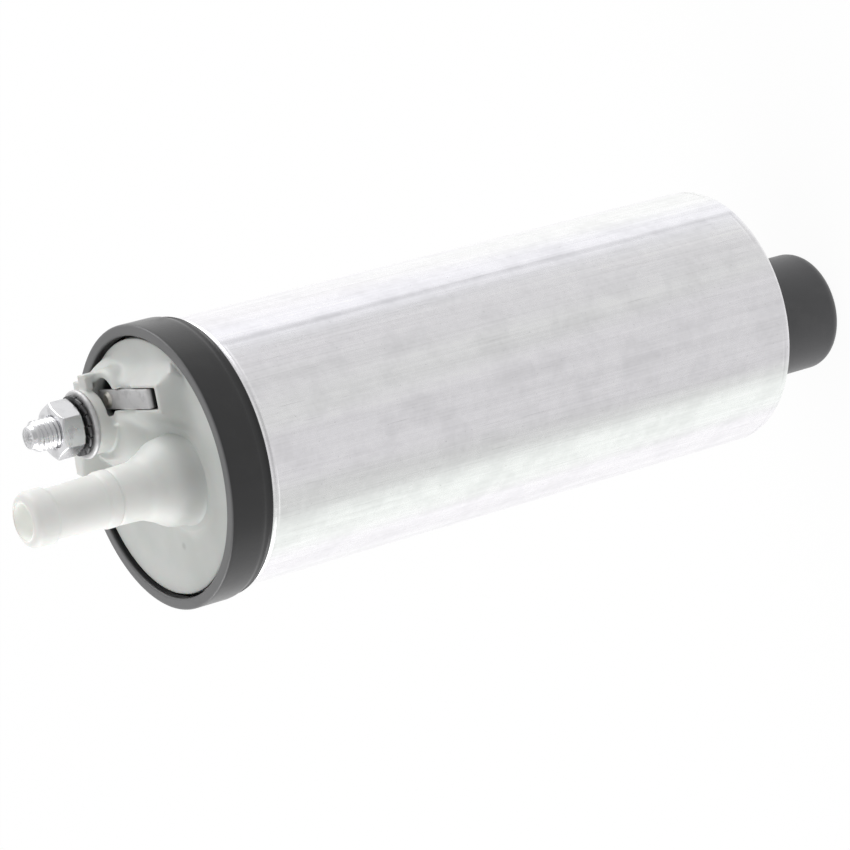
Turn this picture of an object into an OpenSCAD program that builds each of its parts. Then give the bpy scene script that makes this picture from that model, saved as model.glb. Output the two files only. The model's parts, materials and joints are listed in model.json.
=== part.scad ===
// Electric fuel pump that hangs inside a tank.
// It stands on its inlet end: Z runs up the axis towards the hose outlet,
// and the origin is on the tube's axis at the height of the inlet's end face.

/* [Housing tube] */
// Outer diameter of the aluminium tube
tube_d = 43; // [41:0.5:46]
// Length of the tube over its two rolled ends
tube_len = 108.7; // [108.5:0.1:114]
// Wall of the tube
tube_wall = 1; // [0.8:0.1:1.2]
// Inward roll of the tube's ends, measured on the radius
roll_in = 0.9; // [0.7:0.1:1.1]
// Height over which each end rolls in
roll_h = 1.3; // [1.2:0.1:1.6]
// Height that the bead behind the ring stands out
bead_out = 0.2; // [0.1:0.05:0.4]

/* [Rubber ring] */
// Thickness of rubber over the tube's end
ring_wall = 1.1; // [0.9:0.1:2]
// Height of the rubber ring
ring_h = 7.7; // [6.5:0.1:9]
// Height of the ring's front above the cap's face
ring_proud = 0.8; // [0.4:0.1:1.2]
// Width of the ring's front lip
lip_w = 1.8; // [1.4:0.1:2.1]
// Height of the ring's rear chamfer
ring_chamfer_h = 2; // [1:0.1:2.5]

/* [Inlet] */
// Outer diameter of the black sleeve on the inlet
sleeve_d = 20; // [18:0.5:22]
// Length of the sleeve below the tube
sleeve_len = 20.3; // [16:0.1:26]
// Offset of the inlet from the tube's axis
inlet_offset = 3.2; // [2:0.1:4]
// Edge radius of the sleeve's end
sleeve_edge_r = 2.4; // [1:0.1:3]
// Bore of the inlet
inlet_bore_d = 11; // [9:0.5:12]
// Wall of the inlet spigot inside the sleeve
spigot_wall = 2; // [1.5:0.1:2.5]
// Depth of the sleeve's end lip over the spigot
sleeve_lip = 2.6; // [2.5:0.1:4]

/* [End cap] */
// Thickness of the cap's visible face plate
plate_t = 1.05; // [0.9:0.05:1.4]
// Gap all round between the face plate and the ring's lip
plate_gap = 0.5; // [0.3:0.05:0.8]
// Wall of the cap's skirt
cap_skirt = 2.2; // [1.8:0.1:2.6]
// Thickness of the cap's floor
cap_floor = 3; // [2.6:0.1:3.6]

/* [Hose barb] */
// Place of the outlet barb, across, on a face of the reference radius
barb_x = 7.6; // [6.5:0.1:8.5]
// Place of the outlet barb, up
barb_y = -1.6; // [-3:0.1:-1]
// Height of the barb's tip above the cap's face
barb_len = 28.2; // [24:0.1:34]
// Diameter of the bead at the barb's tip
bead_d = 8.9; // [8.6:0.1:9.6]
// Diameter of the pipe next to the bead
pipe_d = 8; // [7.4:0.1:8.4]
// Diameter of the pipe at its foot
pipe_foot_d = 8.8; // [8.4:0.1:9.4]
// Height of the pipe's foot above the cap's face
pipe_foot_h = 9.3; // [8.6:0.1:11]
// Bore of the outlet
outlet_bore_d = 5.6; // [5:0.1:6]
// Diameter of the collar part way along the barb
collar_d = 8.9; // [8.6:0.1:9.6]
// Width of the collar
collar_w = 2.2; // [1.5:0.1:3]
// Distance of the collar from the barb's tip
collar_from_tip = 12.9; // [11:0.1:14]
// Diameter of the domed boss at the barb's foot
dome_d = 17; // [16:0.1:18]
// Height of the domed boss
dome_h = 5.2; // [4.6:0.1:6]

/* [Terminal tower] */
// Place of the terminal stud, across
stud_x = -8.8; // [-10:0.1:-8.4]
// Place of the terminal stud, up
stud_y = 8.3; // [8:0.1:9.4]
// Diameter of the stud's thread
stud_d = 5; // [4:0.5:6]
// Height of the tower above the cap's face
tower_h = 6.4; // [6:0.1:9]
// Diameter of the tower round the stud
tower_d = 10.2; // [9.8:0.1:11]
// Length of the stud above the nut
stud_free = 4.1; // [3:0.1:7]
// Width of the nut across its flats
nut_af = 8; // [8:0.5:10]
// Height of the nut
nut_h = 3.9; // [3:0.1:5]
// Diameter of the lock washer
washer_d = 9.6; // [9.2:0.1:10.4]
// Thickness of the lock washer
washer_t = 1; // [0.6:0.1:1.4]
// Diameter of the contact plate below the washer
contact_d = 11; // [10.4:0.1:11.4]
// Thickness of the contact plate
contact_t = 0.9; // [0.6:0.1:1.2]

/* [Strap and platform] */
// Height of the raised platform above the cap's face
platform_h = 3.3; // [2.8:0.1:4]
// Width over which the platform slopes down to the face
platform_slope = 3; // [2:0.1:4]
// Width of the contact strap
strap_w = 3.1; // [2.8:0.1:3.6]
// Thickness of the contact strap
strap_t = 0.8; // [0.5:0.1:1]
// Height of the strap's centre line above the axis
strap_y = 11.4; // [11:0.1:12]
// Place of the strap's bent leg, across
leg_x = 7.1; // [6.5:0.1:9]
// Depth of the strap's leg
leg_len = 5; // [4:0.1:6]
// Opening of the slot beside the strap's leg
slot_w = 2.6; // [2:0.1:3]
// Diameter of the well below the strap
well_d = 6.2; // [5.4:0.1:6.6]
// Place of the well, across
well_x = -5.2; // [-6:0.1:-4]
// Place of the well, up
well_y = 11.8; // [11.2:0.1:12.2]
// Depth of the well
well_depth = 4.6; // [4:0.1:5.2]

/* [Valves] */
// Diameter of the check valve's head
valve_d = 6.4; // [6:0.1:6.8]
// Lift of the check valve
valve_lift = 2.5; // [1.5:0.1:3]
// Diameter of the relief valve's ball
ball_d = 3.2; // [3:0.1:3.6]
// Lift of the relief valve's ball
ball_lift = 1; // [0.6:0.1:1.2]
// Place of the relief valve, across
relief_x = -11.5; // [-12:0.1:-11]
// Place of the relief valve, up
relief_y = -6; // [-7:0.1:-5]

/* [Motor] */
// Diameter of the rotor's shaft
shaft_d = 5; // [4.6:0.1:5.4]
// Air gap between the rotor's core and the magnets
air_gap = 1.15; // [0.8:0.05:1.5]
// How far the core ends inside the magnets' ends
core_inset = 6; // [4:0.5:8]
// Number of slots in the core
slots = 8; // [6:1:12]
// Wall of the steel flux ring
yoke_wall = 1.6; // [1.2:0.1:2]
// Gap between the flux ring and the pieces above and below it
yoke_gap = 2.4; // [1:0.1:4]
// Thickness of the magnets
magnet_t = 4.2; // [3.8:0.1:4.4]
// Angle that each magnet spans
magnet_angle = 128; // [110:1:140]
// How far the magnets end inside the flux ring's ends
magnet_inset = 6; // [4:0.5:8]
// Diameter of the commutator, in a tube of the reference bore
comm_d = 17; // [16:0.5:18]
// Length of the commutator's bars
comm_len = 9; // [8:0.5:10]
// Width of a brush
brush_w = 4.5; // [4:0.1:5]
// Height of a brush
brush_h = 6; // [5:0.1:6.5]
// Wall of the bracket behind the brush springs
brush_wall = 1.4; // [1:0.1:2]
// Travel of a brush against its spring
brush_travel = 1.5; // [1:0.1:1.8]

/* [Pump stage] */
// Width of the casing's rim outside the impeller
casing_rim = 4.8; // [4:0.1:6]
// Thickness of the impeller
impeller_t = 3.8; // [3.2:0.1:4.4]
// Number of the impeller's vanes
vanes = 30; // [20:1:40]
// Depth of a vane slot from the rim
vane_depth = 3; // [2.4:0.1:3.4]
// Thickness of the inlet cover inside the tube
cover_t = 9; // [8:0.1:10]
// Thickness of the pump casing above the impeller
casing_t = 8; // [7:0.1:9]

/* [Clearances] */
// Running clearance of the shaft in its bushes, on the radius
run_gap = 0.03; // [0.02:0.01:0.06]
// Clearance between pressed or seated pieces, on the radius
seat_gap = 0.02; // [0.01:0.01:0.05]
// Clearance between loosely fitted pieces
loose_gap = 0.15; // [0.1:0.01:0.2]
// Axial clearance of the impeller on each side
side_gap = 0.1; // [0.05:0.01:0.15]

/* [Hidden] */
$fn = 96;
eps = 0.01;

// Radii of the tube and of what fills it
tube_r = tube_d / 2;
inner_r = tube_r - tube_wall;
fit_r = inner_r - seat_gap;
tube_neck = 0.25;
neck_r = tube_r - tube_neck;
ring_r = tube_r + ring_wall;
lip_r = ring_r - lip_w;
disc_r = lip_r - plate_gap;

// Face radius and bore for which the places on the cap and the commutator are given
face_ref_r = 20.3;
motor_ref_r = 20.48;
barb_ref_len = 28.2;
face_k = disc_r / face_ref_r;
motor_k = fit_r / motor_ref_r;
barb_k = barb_len / barb_ref_len;

// Relief valve: its bore, the hole below the ball and the plug above the spring
relief_r = ball_d / 2 + 0.35;
relief_hole_r = 1;
relief_wall = 1.2;
relief_floor = 0.8;
relief_turns = 4;
relief_wire = 0.4;
relief_coil_r = ball_d * 0.36;
relief_pinch = 0.03;
plug_h = 1.6;
plug_gap = 0.3;
ball_to_coil = sqrt(pow((ball_d + relief_wire) / 2, 2) - pow(relief_coil_r, 2));
ball_to_seat = seat_gap + sqrt(pow(ball_d / 2, 2) - pow(relief_hole_r, 2));
relief_stack = plug_h + plug_gap + ball_lift + relief_turns * relief_wire - relief_wire / 2
    + relief_pinch + ball_to_coil + ball_to_seat + relief_floor;
relief_foot_gap = 1.2;
cap_depth = relief_stack + relief_foot_gap;

// Heights along the axis
z_tube = sleeve_len;
z_tube_top = z_tube + tube_len;
z_face = z_tube_top + loose_gap + plate_t;
z_ring = z_face + ring_proud;
z_cap = z_face - cap_depth;
z_cover = z_tube + tube_wall + seat_gap;
z_cover_top = z_cover + cover_t;
z_casing = z_cover_top + seat_gap;
z_wheel = z_cover_top + side_gap;
z_wheel_top = z_wheel + impeller_t;
z_chamber = z_wheel_top + side_gap;
z_casing_top = z_chamber + casing_t;
z_holder_top = z_cap - seat_gap;
bridge_t = 5;
bridge_w = 8;
brush_rise = brush_h / 2 + loose_gap + brush_wall + 0.65;
hub_over = 0.8;
holder_h = brush_rise + comm_len / 2 + hub_over + 0.5 + bridge_t;
z_holder = z_holder_top - holder_h;
z_brush = z_holder + brush_rise;
z_comm = z_brush - comm_len / 2;
z_yoke = z_casing_top + yoke_gap;
yoke_len = z_holder - yoke_gap - z_yoke;
z_magnet = z_yoke + magnet_inset;
magnet_len = yoke_len - 2 * magnet_inset;
core_drop = 1;
z_core = z_magnet + core_inset - core_drop;
core_len = magnet_len - 2 * core_inset;
z_core_top = z_core + core_len;
shaft_sink = 3;
z_shaft = z_cover_top - shaft_sink;
z_shaft_top = z_holder_top - 1;
z_bead = z_ring - ring_h - 1.1;
z_socket = z_cover + 2.2;
z_way = z_socket + seat_gap;
way_h = 1.2;

// Radii of the inlet and the motor
sleeve_r = sleeve_d / 2;
inlet_r = inlet_bore_d / 2;
spigot_r = inlet_r + spigot_wall;
shaft_r = shaft_d / 2;
bush_wall = 1.6;
bush_r = shaft_r + bush_wall;
yoke_in_r = fit_r - yoke_wall * motor_k;
magnet_out_r = yoke_in_r - seat_gap;
magnet_in_r = magnet_out_r - magnet_t * motor_k;
core_r = magnet_in_r - air_gap * motor_k;
comm_r = comm_d / 2 * motor_k;
bar_t = 2.4;
core_in_r = shaft_r + 3 * motor_k;
hub_r = comm_r - bar_t;
wheel_r = fit_r - casing_rim * motor_k;
impeller_r = wheel_r - loose_gap;

// Seals: cord of each ring and its groove
seal_d = 1.6;
seal_sink = seal_d + 2 * seat_gap;

// Tower and its stud: the stud's foot stays above the strap, its thread is a little wider past the nut
stud_sink = tower_h - platform_h - 0.3;
stud_neck = 0.2;
nut_clear = 0.2;
point_h = 1.1;
strap_left = 2.6;
rivet_r = 0.8;
thrust_t = 1.2;

// Check valve: its chamber, its seat and the shoulder that holds its spring
chamber_r = valve_d / 2 + 0.6;
z_seat_top = z_face - cap_floor + 1;
valve_head = 0.8;
check_turns = 5;
check_wire = 0.5;
z_spring_top = z_seat_top + valve_head + valve_lift + check_turns * check_wire + 0.4;
seat_piece_h = 4;

// Relief valve: heights from the plug down
z_plug = z_face - plug_h;
z_relief_spring = z_plug - plug_gap - ball_lift - relief_turns * relief_wire;
z_ball = z_relief_spring + relief_wire / 2 - relief_pinch - ball_to_coil;
z_relief_seat = z_ball - ball_to_seat;
z_relief = z_relief_seat - relief_floor;

// Brushes: faces just clear of the commutator, springs against the bracket's rim
brush_turns = 3;
brush_wire = 0.4;
brush_in_r = comm_r + 0.05;
spring_len = brush_travel + brush_turns * brush_wire + 0.8;
box_end_r = fit_r - brush_wall;
brush_len = box_end_r - spring_len - brush_in_r;

// Side channels over the vanes, stopped between the two ports
channel_r = impeller_r - vane_depth / 2;
channel_depth = 1.6;
stop_angle = 25;
port_angle = stop_angle + 9;
port_r = vane_depth / 2 - 0.25;

module at_inlet() {
    translate([0, -inlet_offset, 0]) children();
}

module at_barb() {
    translate([barb_x * face_k, barb_y * face_k, 0]) children();
}

module at_stud() {
    translate([stud_x * face_k, stud_y * face_k, 0]) children();
}

module at_relief() {
    translate([relief_x * face_k, relief_y * face_k, 0]) children();
}

module tube_of(outer, inner, h) {
    difference() {
        cylinder(r = outer, h = h);
        translate([0, 0, -eps]) cylinder(r = inner, h = h + 2 * eps);
    }
}

// Points of a quarter arc about a centre, from angle a to angle b
function arc(centre, r, a, b, n = 8) =
    [for (i = [0:n]) let (t = a + (b - a) * i / n) centre + r * [cos(t), sin(t)]];

// Wall of the tube as an outline: outer face, bead, neck below the ring, rolled ends, inner face
module housing_tube() {
    mouth_r = tube_r - roll_in - tube_wall;
    bead_r = tube_r + bead_out;
    edge = 0.3;
    color("gainsboro") rotate_extrude($fn = 128) polygon(concat(
        [[mouth_r, z_tube + edge], [mouth_r + edge, z_tube]],
        arc([tube_r - roll_h, z_tube + roll_h], roll_h, 270, 360, 6),
        [[tube_r, z_bead - 0.5], [bead_r, z_bead - 0.2], [bead_r, z_bead + 0.2], [neck_r, z_bead + 0.6]],
        [[neck_r, z_tube_top - roll_h], [mouth_r + tube_wall, z_tube_top - edge],
         [mouth_r + tube_wall - edge, z_tube_top], [mouth_r, z_tube_top], [mouth_r, z_tube_top - edge],
         [inner_r, z_tube_top - roll_h - edge], [inner_r, z_tube + tube_wall], [mouth_r, z_tube + tube_wall]]
    ));
}

// Rubber ring over the tube's end, with a front lip
module isolator_ring() {
    z0 = z_ring - ring_h;
    grip_r = neck_r + seat_gap;
    color([0.16, 0.16, 0.17]) rotate_extrude($fn = 128) polygon(concat(
        [[grip_r, z0], [grip_r + 0.3, z0], [ring_r - 0.5, z0 + 0.5]],
        [[ring_r, z0 + ring_chamfer_h], [ring_r, z_ring - 0.4], [ring_r - 0.4, z_ring]],
        [[lip_r + 0.3, z_ring], [lip_r, z_ring - 0.3], [lip_r, z_tube_top + loose_gap]],
        [[grip_r, z_tube_top + loose_gap]]
    ));
}

// Outline of the face plate and of the body below it
module cap_body() {
    groove_z = z_cap + 2.6;
    difference() {
        union() {
            translate([0, 0, z_face - plate_t]) cylinder(r = disc_r, h = plate_t);
            translate([0, 0, z_cap]) cylinder(r = fit_r, h = z_tube_top - roll_h - 0.5 - z_cap);
            translate([0, 0, z_cap])
                cylinder(r = tube_r - roll_in - tube_wall - loose_gap, h = z_face - z_cap - eps);
        }
        translate([0, 0, groove_z - seal_d / 2 - 0.1])
            tube_of(tube_r, fit_r - seal_sink, seal_d + 0.2);
        translate([0, 0, z_cap - eps])
            cylinder(r = fit_r - seal_sink - cap_skirt, h = cap_depth - cap_floor + eps);
    }
}

// Profile of the barb, turned about its own axis, from the dome to the tip
module barb_solid() {
    z_tip = z_face + barb_len;
    z_collar = z_tip - collar_from_tip * barb_k;
    z_foot = z_face + pipe_foot_h * barb_k;
    dome_top = dome_h * barb_k;
    foot_r = pipe_foot_d / 2;
    pipe_r = pipe_d / 2;
    bead_r = bead_d / 2;
    dome_r = dome_d / 2 * face_k;
    root_r = foot_r + 0.3;
    round_r = 1.3;
    rotate_extrude($fn = 72) polygon(concat(
        [[0, z_face - cap_floor + eps], [dome_r, z_face - cap_floor + eps], [dome_r, z_face]],
        [for (i = [1:7]) let (t = i / 8) [
            root_r + (dome_r - root_r) * pow(1 - t, 1.25),
            z_face + dome_top * sin(90 * t)]],
        [[root_r, z_face + dome_top], [foot_r, z_foot]],
        [[foot_r - 0.1, z_collar - collar_w], [collar_d / 2, z_collar - collar_w + 0.35]],
        [[collar_d / 2, z_collar - 0.35], [pipe_r + 0.15, z_collar]],
        [[pipe_r, z_tip - 4.6], [bead_r, z_tip - 3.6], [bead_r, z_tip - 2.4]],
        arc([bead_r - round_r, z_tip - round_r - 0.3], round_r, 20, 78, 5),
        [[bead_r - round_r - 0.3, z_tip], [0, z_tip]]
    ));
}

// Chamber and bore through the barb
module barb_bore() {
    z0 = z_seat_top - seat_piece_h;
    translate([0, 0, z0]) cylinder(r = chamber_r, h = z_spring_top - z0, $fn = 48);
    translate([0, 0, z_face]) cylinder(r = outlet_bore_d / 2, h = barb_len + 1, $fn = 48);
}

// Tower below the stud: a round pillar and a web that runs down beside the rim
module tower_outline() {
    x = stud_x * face_k;
    y = stud_y * face_k;
    r = tower_d / 2;
    translate([x, y]) circle(r = r);
    polygon([[x - 1.15 * r, y - 1.6 * r], [x - 0.75 * r, y - 1.7 * r], [x - 0.3 * r, y - 0.6 * r],
             [x - 0.85 * r, y + 0.3 * r], [x - r, y - 0.2 * r]]);
}

// Outline of the platform's strip below the strap
module strip_outline(grow = 0) {
    x0 = (well_x - 5) * face_k - grow;
    x1 = leg_x * face_k + slot_w + 1.2 + grow;
    y0 = strap_y * face_k - strap_w / 2 - 0.6 - grow;
    y1 = strap_y * face_k + strap_w / 2 + 0.5 + grow;
    translate([x0, y0]) square([x1 - x0, y1 - y0]);
}

// Raised platform that slopes down to the face on all sides, with a round base below the tower
module platform() {
    foot = 0.2;
    base_r = tower_d / 2 + 1.4;
    intersection() {
        translate([0, 0, z_face - eps]) union() {
            hull() {
                linear_extrude(foot) strip_outline(platform_slope);
                translate([0, 0, platform_h + eps - foot]) linear_extrude(foot) strip_outline();
            }
            at_stud() cylinder(r1 = base_r + platform_slope, r2 = base_r, h = platform_h + eps);
        }
        cylinder(r = disc_r - 0.6, h = z_face + barb_len);
    }
}

// Groove of the strap, slot of its leg, and the well below it
module strap_cuts() {
    z_platform = z_face + platform_h;
    z_groove = z_platform - strap_t - 0.1;
    x = leg_x * face_k;
    y0 = strap_y * face_k - strap_w / 2 - loose_gap;
    w = strap_w + 2 * loose_gap;
    x0 = well_x * face_k - strap_left;
    translate([x0, y0, z_groove]) cube([x - x0 + strap_t + loose_gap, w, strap_t + 1]);
    translate([x - loose_gap, y0, z_groove - leg_len]) cube([slot_w + 2 * loose_gap, w, leg_len + 2]);
    translate([well_x * face_k, well_y * face_k, z_platform - well_depth])
        cylinder(d = well_d, h = well_depth + 1.2, $fn = 48);
}

module end_cap() {
    color([0.84, 0.85, 0.83]) difference() {
        union() {
            cap_body();
            at_barb() barb_solid();
            translate([0, 0, z_face - eps]) linear_extrude(tower_h + eps) tower_outline();
            platform();
            translate([well_x * face_k, well_y * face_k, z_face])
                cylinder(d = well_d + 3, h = platform_h + 0.5);
            finger_and_lug();
            at_relief() translate([0, 0, z_relief])
                cylinder(r = relief_r + relief_wall, h = z_face - z_relief - eps);
            at_barb() translate([0, 0, z_seat_top - seat_piece_h])
                cylinder(r = chamber_r + 1.3, h = seat_piece_h);
        }
        at_barb() barb_bore();
        strap_cuts();
        at_stud() translate([0, 0, z_face + tower_h - stud_sink]) stud_hole(stud_sink + 1);
        at_relief() relief_bore();
    }
}

// Snap finger beside the well and a low lug at the strap's left end
module finger_and_lug() {
    w = 2.4;
    x = (well_x - 4) * face_k;
    y = (well_y + 2.6) * face_k;
    translate([x, y, z_face]) cube([w, 1.4, platform_h + 2.4]);
    translate([x, y - 1, z_face + platform_h + 1.2]) cube([w, 1.2, 1.2]);
    translate([x - 4, y - 2.4, z_face]) cube([4.2, 2.6, platform_h + 1.3]);
}

module relief_bore() {
    translate([0, 0, z_relief_seat]) cylinder(r = relief_r, h = cap_depth, $fn = 48);
    translate([0, 0, z_cap]) cylinder(r = relief_hole_r, h = cap_depth, $fn = 48);
}

module cap_seal() {
    color([0.12, 0.12, 0.12]) translate([0, 0, z_cap + 2.6])
        rotate_extrude($fn = 96) translate([inner_r - seat_gap - seal_d / 2, 0]) circle(d = seal_d, $fn = 24);
}

// Stud with a dog point at its free end
module terminal_stud() {
    z0 = z_face + tower_h - stud_sink;
    neck_h = stud_sink + contact_t + washer_t + nut_h + nut_clear;
    h = neck_h - nut_clear + stud_free;
    color([0.78, 0.78, 0.76]) at_stud() translate([0, 0, z0]) rotate_extrude($fn = 48) polygon([
        [0, 0], [stud_d / 2 - stud_neck, 0], [stud_d / 2 - stud_neck, neck_h - eps],
        [stud_d / 2, neck_h], [stud_d / 2, h - point_h], [stud_d / 2 - 0.6, h - point_h + 0.5],
        [stud_d / 2 - 0.7, h], [0, h]]);
}

module stud_hole(h) {
    translate([0, 0, -eps]) cylinder(d = stud_d + 2 * seat_gap, h = h + 2 * eps, $fn = 48);
}

module contact_plate() {
    color([0.75, 0.74, 0.7]) at_stud() translate([0, 0, z_face + tower_h]) difference() {
        cylinder(d = contact_d, h = contact_t);
        stud_hole(contact_t);
    }
}

// Washer with a ring of teeth cut in its rim
module lock_washer() {
    color([0.45, 0.45, 0.45]) at_stud() translate([0, 0, z_face + tower_h + contact_t]) difference() {
        cylinder(d = washer_d, h = washer_t);
        stud_hole(washer_t);
        for (i = [0:15]) rotate(i * 22.5) translate([washer_d / 2 - 0.7, -0.3, -eps])
            cube([1, 0.6, washer_t + 2 * eps]);
    }
}

// Hexagon nut with its corners turned off at both faces
module terminal_nut() {
    corner_r = nut_af / 2 / cos(30);
    color([0.8, 0.8, 0.78]) at_stud()
        translate([0, 0, z_face + tower_h + contact_t + washer_t]) difference() {
            intersection() {
                rotate(12) cylinder(r = corner_r, h = nut_h, $fn = 6);
                rotate_extrude($fn = 64) polygon([
                    [0, 0], [nut_af / 2 - 0.2, 0], [corner_r + 0.1, 0.65], [corner_r + 0.1, nut_h - 0.65],
                    [nut_af / 2 - 0.2, nut_h], [0, nut_h]]);
            }
            stud_hole(nut_h);
        }
}

// Flat strap with a leg bent down into the cap
module contact_strap() {
    z0 = z_face + platform_h - strap_t;
    x = leg_x * face_k;
    x0 = well_x * face_k - strap_left + loose_gap;
    y = strap_y * face_k;
    color([0.7, 0.69, 0.66]) difference() {
        translate([0, y + strap_w / 2, z0]) rotate([90, 0, 0]) linear_extrude(strap_w)
            polygon(concat(
                [[x0, 0], [x, 0], [x, -leg_len + 0.4], [x + strap_t, -leg_len + 0.4]],
                arc([x, 0], strap_t, 0, 90, 6),
                [[x0, strap_t]]));
        translate([well_x * face_k, y, z0 - 1]) cylinder(r = rivet_r + seat_gap, h = strap_t + 2, $fn = 32);
    }
}

// Rivet that joins the strap to its lead in the well
module contact_rivet() {
    z0 = z_face + platform_h;
    color([0.72, 0.55, 0.3]) translate([well_x * face_k, strap_y * face_k, 0]) union() {
        translate([0, 0, z0 - well_depth + seat_gap]) cylinder(r = rivet_r, h = well_depth + 0.1, $fn = 32);
        translate([0, 0, z0 + seat_gap]) cylinder(r1 = rivet_r + 0.5, r2 = rivet_r, h = 0.35, $fn = 32);
    }
}

// Poppet: a domed head, a flange for the spring and a guide stem
module check_valve() {
    r = valve_d / 2;
    color([0.2, 0.22, 0.25]) at_barb() translate([0, 0, z_seat_top]) rotate_extrude($fn = 48) polygon(concat(
        [[0, -1.3], [1.4, -1.2], [2, -0.7]],
        [[2.6, seat_gap], [r, seat_gap], [r, valve_head], [1.2, valve_head], [1, 1.2], [1, 4.4], [0, 4.8]]
    ));
}

// Round wire wound on a helix; ends stay open
module coil(mean_r, wire_r, h, turns, sides = 6, steps = 12) {
    n = turns * steps;
    pts = [for (i = [0:n]) let (a = 360 * i / steps, z = wire_r + (h - 2 * wire_r) * i / n)
        for (j = [0:sides - 1]) let (b = 360 * j / sides, r = mean_r + wire_r * cos(b))
            [r * cos(a), r * sin(a), z + wire_r * sin(b)]];
    faces = concat(
        [[for (j = [0:sides - 1]) j]],
        [for (i = [0:n - 1]) for (j = [0:sides - 1]) let (k = (j + 1) % sides)
            [i * sides + j, (i + 1) * sides + j, (i + 1) * sides + k, i * sides + k]],
        [[for (j = [0:sides - 1]) n * sides + sides - 1 - j]]
    );
    polyhedron(pts, faces);
}

module check_spring() {
    z0 = z_seat_top + valve_head + 0.05;
    color("silver") at_barb() translate([0, 0, z0])
        coil(valve_d / 2 - 0.4, check_wire / 2, z_spring_top - z0 - 0.05, check_turns);
}

// Seat pressed into the cap below the check valve
module check_seat() {
    color([0.7, 0.6, 0.3]) at_barb() translate([0, 0, z_seat_top - seat_piece_h]) difference() {
        cylinder(r = chamber_r - seat_gap, h = seat_piece_h, $fn = 48);
        translate([0, 0, -eps]) cylinder(r = 2.1, h = seat_piece_h + 1, $fn = 48);
        translate([0, 0, seat_piece_h - 0.75]) cylinder(r1 = 2.1, r2 = 2.75, h = 0.75 + eps, $fn = 48);
    }
}

module relief_ball() {
    color("silver") at_relief() translate([0, 0, z_ball]) sphere(d = ball_d, $fn = 32);
}

module relief_spring() {
    color("silver") at_relief() translate([0, 0, z_relief_spring])
        coil(relief_coil_r, relief_wire / 2, z_plug - z_relief_spring - 0.05, relief_turns);
}

module relief_plug() {
    color([0.7, 0.6, 0.3]) at_relief() translate([0, 0, z_plug]) difference() {
        cylinder(r = relief_r - seat_gap, h = plug_h - 0.3, $fn = 48);
        translate([0, 0, -eps]) cylinder(r = 0.7, h = plug_h, $fn = 32);
    }
}

// Ring-shaped bracket with two brush boxes and the upper bearing's bridge
module brush_holder() {
    box_w = brush_w + 2 * loose_gap;
    box_h = brush_h + 2 * loose_gap;
    color([0.9, 0.88, 0.8]) difference() {
        union() {
            translate([0, 0, z_holder]) tube_of(fit_r, fit_r - brush_wall, holder_h);
            for (s = [0, 180]) rotate(s)
                translate([comm_r + 1.5, -box_w / 2 - brush_wall, z_brush - box_h / 2 - brush_wall])
                    cube([fit_r - comm_r - 1.9, box_w + 2 * brush_wall, box_h + 2 * brush_wall]);
            translate([-fit_r + 0.5, -bridge_w / 2, z_holder_top - bridge_t])
                cube([2 * fit_r - 1, bridge_w, bridge_t / 2]);
            translate([0, 0, z_holder_top - bridge_t]) cylinder(r = bush_r + bush_wall, h = bridge_t);
        }
        for (s = [-1, 1]) translate([s > 0 ? 0 : -box_end_r, -box_w / 2, z_brush - box_h / 2])
            cube([box_end_r, box_w, box_h]);
        translate([0, 0, z_holder_top - bridge_t - 1]) cylinder(r = bush_r, h = bridge_t + 2, $fn = 48);
        translate([0, 0, z_holder - 1]) cylinder(r = comm_r + 1.2, h = holder_h - bridge_t + 1);
    }
}

module brush(s) {
    color([0.22, 0.2, 0.2]) difference() {
        translate([s > 0 ? brush_in_r - 1 : -brush_in_r - brush_len, -brush_w / 2, z_brush - brush_h / 2])
            cube([brush_len + 1, brush_w, brush_h]);
        translate([0, 0, z_brush - brush_h]) cylinder(r = brush_in_r, h = 2 * brush_h);
    }
}

module brush_left() { brush(-1); }
module brush_right() { brush(1); }

module brush_spring(s) {
    color("silver") translate([s * (brush_in_r + brush_len + 0.05), 0, z_brush])
        rotate([0, s * 90, 0]) coil(1.6, brush_wire / 2, spring_len - 0.1, brush_turns);
}

module brush_spring_left() { brush_spring(-1); }
module brush_spring_right() { brush_spring(1); }

module bush(z, h) {
    color([0.6, 0.45, 0.25]) translate([0, 0, z])
        tube_of(bush_r - seat_gap, shaft_r + run_gap, h);
}

module upper_bush() { bush(z_holder_top - bridge_t, bridge_t - 0.4); }
module lower_bush() { bush(z_chamber + 1.4, casing_t - 1.4); }

module flux_ring() {
    color([0.4, 0.4, 0.42]) translate([0, 0, z_yoke]) tube_of(fit_r, yoke_in_r, yoke_len);
}

// One magnet: a thick arc, centred on angle a
module magnet(a) {
    half = magnet_angle / 2;
    far = 1.5 * magnet_out_r;
    color([0.25, 0.25, 0.26]) translate([0, 0, z_magnet]) linear_extrude(magnet_len)
        difference() {
            intersection() {
                circle(r = magnet_out_r);
                rotate(a) polygon([[0, 0], [far * cos(half), -far * sin(half)], [2 * far, 0],
                                   [far * cos(half), far * sin(half)]]);
            }
            circle(r = magnet_in_r);
        }
}

module magnet_left() { magnet(180); }
module magnet_right() { magnet(0); }

// Two sprung clips that push the magnets apart
module magnet_clips() {
    gap = 90 - magnet_angle / 2;
    w = 2 * magnet_in_r * sin(gap) * 0.8;
    color("silver") for (s = [-1, 1])
        translate([-w / 2, s > 0 ? magnet_out_r - 2.2 : -magnet_out_r + 1.4, z_magnet])
            difference() {
                cube([w, 0.8, magnet_len]);
                translate([0.8, -1, 3]) cube([w - 1.6, 3, magnet_len - 6]);
            }
}

module rotor_shaft() {
    color("silver") union() {
        translate([0, 0, z_shaft]) cylinder(r = shaft_r, h = z_shaft_top - z_shaft - 0.5, $fn = 48);
        translate([0, 0, z_shaft_top - 0.5]) cylinder(r1 = shaft_r, r2 = shaft_r - 0.5, h = 0.5, $fn = 48);
    }
}

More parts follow.
